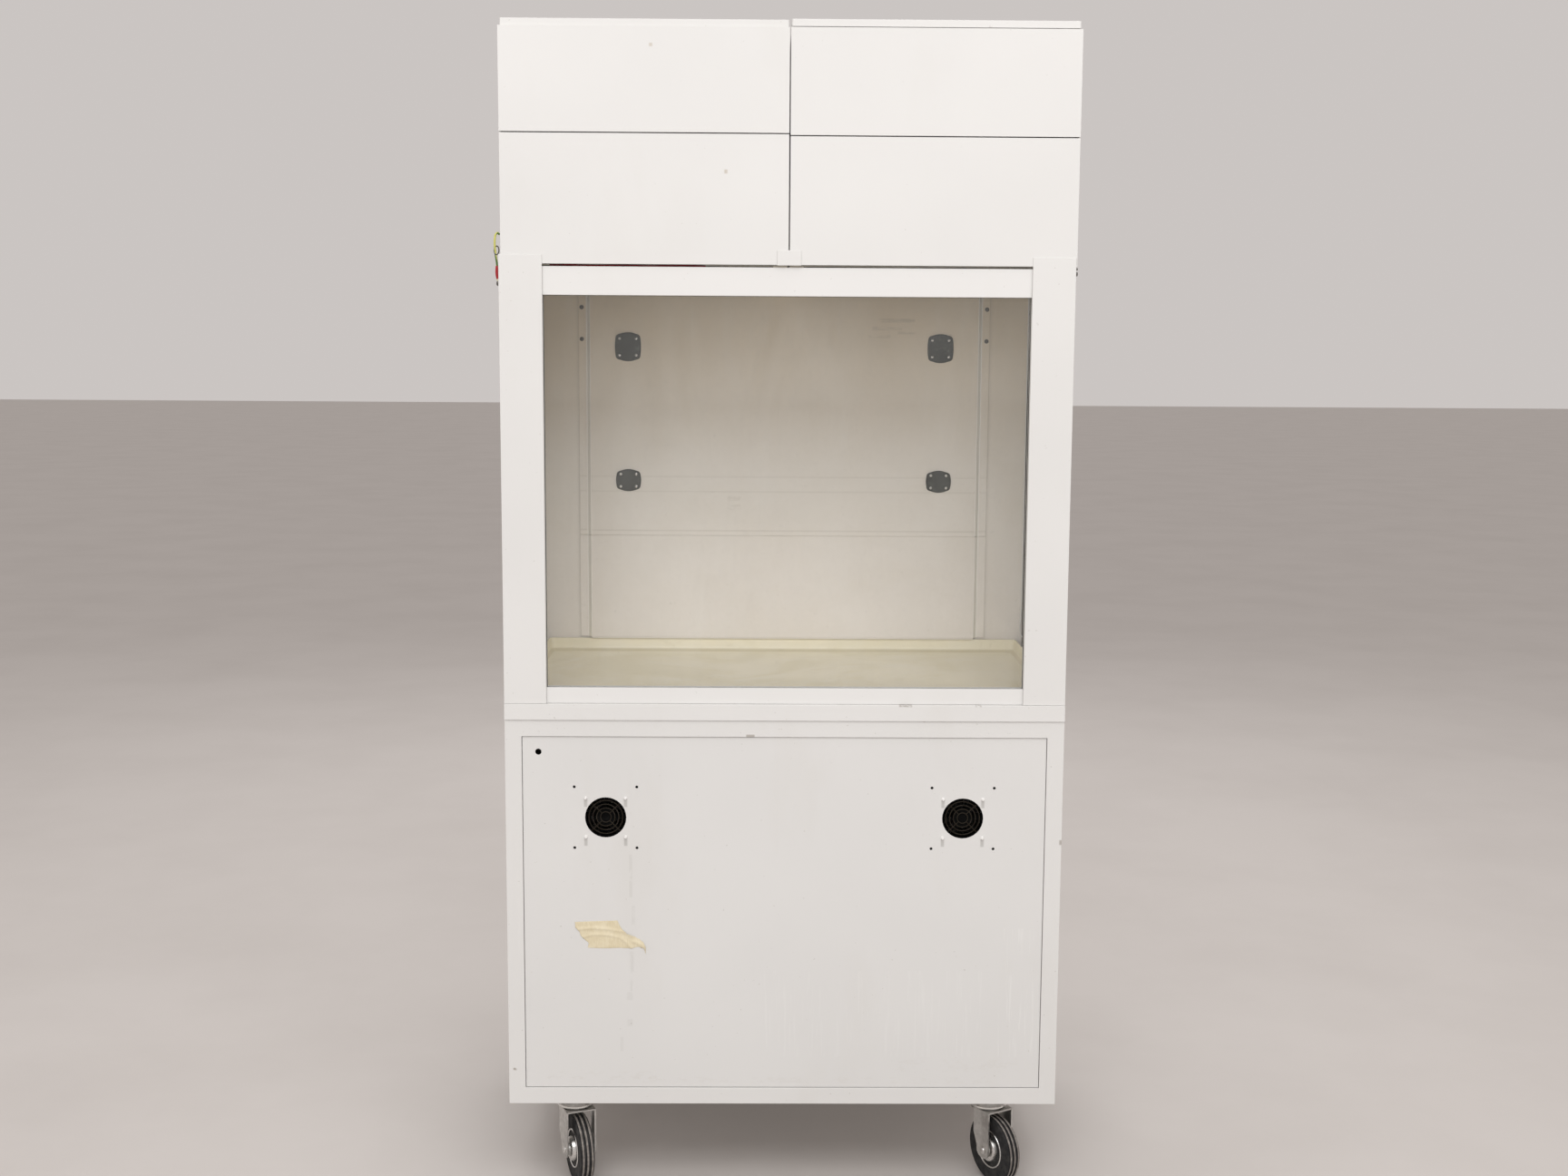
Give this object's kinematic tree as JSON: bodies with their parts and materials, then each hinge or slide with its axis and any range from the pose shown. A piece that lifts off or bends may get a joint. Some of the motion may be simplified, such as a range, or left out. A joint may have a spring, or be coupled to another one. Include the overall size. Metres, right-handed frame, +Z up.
{
  "type": "fume hood",
  "caption": "Mobile recirculating fume hood: panelled base on swivel castors, glazed chamber with a vertical sliding sash, and two filter and blower modules on top.",
  "frame": {"origin": "on the floor under the middle of the cabinet, midway between its sides and between its front and back", "axes": "+Z up, +X to the right seen from the front, the front faces -Y"},
  "size_m": [1.0154, 0.67, 2.0961],
  "materials": {
    "base_paint": "satin powder coat, scuffed",
    "white_paint": "satin powder coat",
    "liner": "matt, aged off-white",
    "tray": "yellowed satin",
    "blanking_plate": "moulded grey",
    "fan_plastic": "moulded black",
    "zinc": "zinc plated",
    "tyre": "matt black rubber",
    "glass": "clear",
    "spring_steel": "rolled spring steel",
    "motor": "cast, satin",
    "carbon_media": "carbon granule fleece",
    "earth_wire": "green and yellow sheath"
  },
  "bodies": {
    "cabinet": {"base_front_frame": "base_paint", "base_front_panel": "base_paint", "base_side_right": "base_paint", "base_side_left": "base_paint", "base_floor": "base_paint", "base_back_panel": "base_paint", "vent_fan_frame_left": "fan_plastic", "vent_fan_frame_right": "fan_plastic", "worktop_deck": "white_paint", "sill": "white_paint", "spill_tray": "tray", "chamber_side_right": "white_paint", "chamber_side_left": "white_paint", "chamber_rear_panel": "white_paint", "back_wall": "liner", "baffle_lower": "liner", "baffle_upper": "liner", "service_plate_upper_left": "blanking_plate", "service_plate_upper_right": "blanking_plate", "service_plate_lower_left": "blanking_plate", "service_plate_lower_right": "blanking_plate", "front_stile_right": "white_paint", "front_stile_left": "white_paint", "centre_clip": "white_paint", "earth_lead": "earth_wire", "module_shell_left": "white_paint", "filter_fascia_left": "white_paint", "fan_fascia_left": "white_paint", "top_cap_left": "white_paint", "carbon_filter_left": "carbon_media", "blower_motor_left": "motor", "module_shell_right": "white_paint", "filter_fascia_right": "white_paint", "fan_fascia_right": "white_paint", "top_cap_right": "white_paint", "carbon_filter_right": "carbon_media", "blower_motor_right": "motor", "castor_plate_front_left": "zinc", "castor_plate_front_right": "zinc", "castor_plate_rear_left": "zinc", "castor_plate_rear_right": "zinc"},
    "sash": {"sash_bottom_rail": "white_paint", "sash_top_rail": "white_paint", "sash_side_rail_right": "white_paint", "sash_side_rail_left": "white_paint", "sash_glass": "glass"},
    "balance_drum_left": {"balance_drum_left": "spring_steel"},
    "balance_drum_right": {"balance_drum_right": "spring_steel"},
    "vent_fan_rotor_left": {"vent_fan_rotor_left": "fan_plastic"},
    "vent_fan_rotor_right": {"vent_fan_rotor_right": "fan_plastic"},
    "exhaust_impeller_left": {"exhaust_impeller_left": "fan_plastic"},
    "exhaust_impeller_right": {"exhaust_impeller_right": "fan_plastic"},
    "castor_fork_front_left": {"castor_fork_front_left": "zinc"},
    "castor_wheel_front_left": {"castor_wheel_front_left": "tyre"},
    "castor_fork_front_right": {"castor_fork_front_right": "zinc"},
    "castor_wheel_front_right": {"castor_wheel_front_right": "tyre"},
    "castor_fork_rear_left": {"castor_fork_rear_left": "zinc"},
    "castor_wheel_rear_left": {"castor_wheel_rear_left": "tyre"},
    "castor_fork_rear_right": {"castor_fork_rear_right": "zinc"},
    "castor_wheel_rear_right": {"castor_wheel_rear_right": "tyre"}
  },
  "joints": [
    {"name": "sash_slide", "type": "slide", "parent": "cabinet", "child": "sash", "axis": [0, 0, 1], "range_m": [0, 0.4]},
    {"name": "balance_drum_left_turn", "type": "hinge", "parent": "cabinet", "child": "balance_drum_left", "pos_m": [-0.4725, -0.304, 2.046], "axis": [0, 1, 0], "range_deg": [-1400, 1400]},
    {"name": "balance_drum_right_turn", "type": "hinge", "parent": "cabinet", "child": "balance_drum_right", "pos_m": [0.4725, -0.304, 2.046], "axis": [0, 1, 0], "range_deg": [-1400, 1400]},
    {"name": "vent_fan_left_spin", "type": "hinge", "parent": "cabinet", "child": "vent_fan_rotor_left", "pos_m": [-0.321, -0.305, 0.7], "axis": [0, 1, 0], "continuous": true},
    {"name": "vent_fan_right_spin", "type": "hinge", "parent": "cabinet", "child": "vent_fan_rotor_right", "pos_m": [0.321, -0.305, 0.7], "axis": [0, 1, 0], "continuous": true},
    {"name": "exhaust_impeller_left_spin", "type": "hinge", "parent": "cabinet", "child": "exhaust_impeller_left", "pos_m": [-0.2481, 0.02, 1.944], "axis": [0, 0, 1], "continuous": true},
    {"name": "exhaust_impeller_right_spin", "type": "hinge", "parent": "cabinet", "child": "exhaust_impeller_right", "pos_m": [0.25335, 0.02, 1.944], "axis": [0, 0, 1], "continuous": true},
    {"name": "castor_front_left_swivel", "type": "hinge", "parent": "cabinet", "child": "castor_fork_front_left", "pos_m": [-0.385, -0.262, 0.14], "axis": [0, 0, 1], "continuous": true},
    {"name": "castor_front_left_roll", "type": "hinge", "parent": "castor_fork_front_left", "child": "castor_wheel_front_left", "pos_m": [-0.37694, -0.28301, 0.0625], "axis": [0.9336, 0.3584, 0], "continuous": true},
    {"name": "castor_front_right_swivel", "type": "hinge", "parent": "cabinet", "child": "castor_fork_front_right", "pos_m": [0.385, -0.262, 0.14], "axis": [0, 0, 1], "continuous": true},
    {"name": "castor_front_right_roll", "type": "hinge", "parent": "castor_fork_front_right", "child": "castor_wheel_front_right", "pos_m": [0.39625, -0.28149, 0.0625], "axis": [0.866, 0.5, 0], "continuous": true},
    {"name": "castor_rear_left_swivel", "type": "hinge", "parent": "cabinet", "child": "castor_fork_rear_left", "pos_m": [-0.385, 0.262, 0.14], "axis": [0, 0, 1], "continuous": true},
    {"name": "castor_rear_left_roll", "type": "hinge", "parent": "castor_fork_rear_left", "child": "castor_wheel_rear_left", "pos_m": [-0.38148, 0.23978, 0.0625], "axis": [0.9877, 0.1564, 0], "continuous": true},
    {"name": "castor_rear_right_swivel", "type": "hinge", "parent": "cabinet", "child": "castor_fork_rear_right", "pos_m": [0.385, 0.262, 0.14], "axis": [0, 0, 1], "continuous": true},
    {"name": "castor_rear_right_roll", "type": "hinge", "parent": "castor_fork_rear_right", "child": "castor_wheel_rear_right", "pos_m": [0.3927, 0.24086, 0.0625], "axis": [0.9397, 0.342, 0], "continuous": true}
  ],
  "couplings": [
    {"joint": "balance_drum_left_turn", "follows": "sash_slide", "rad_per_m": -60.606},
    {"joint": "balance_drum_right_turn", "follows": "sash_slide", "rad_per_m": 60.606}
  ]
}
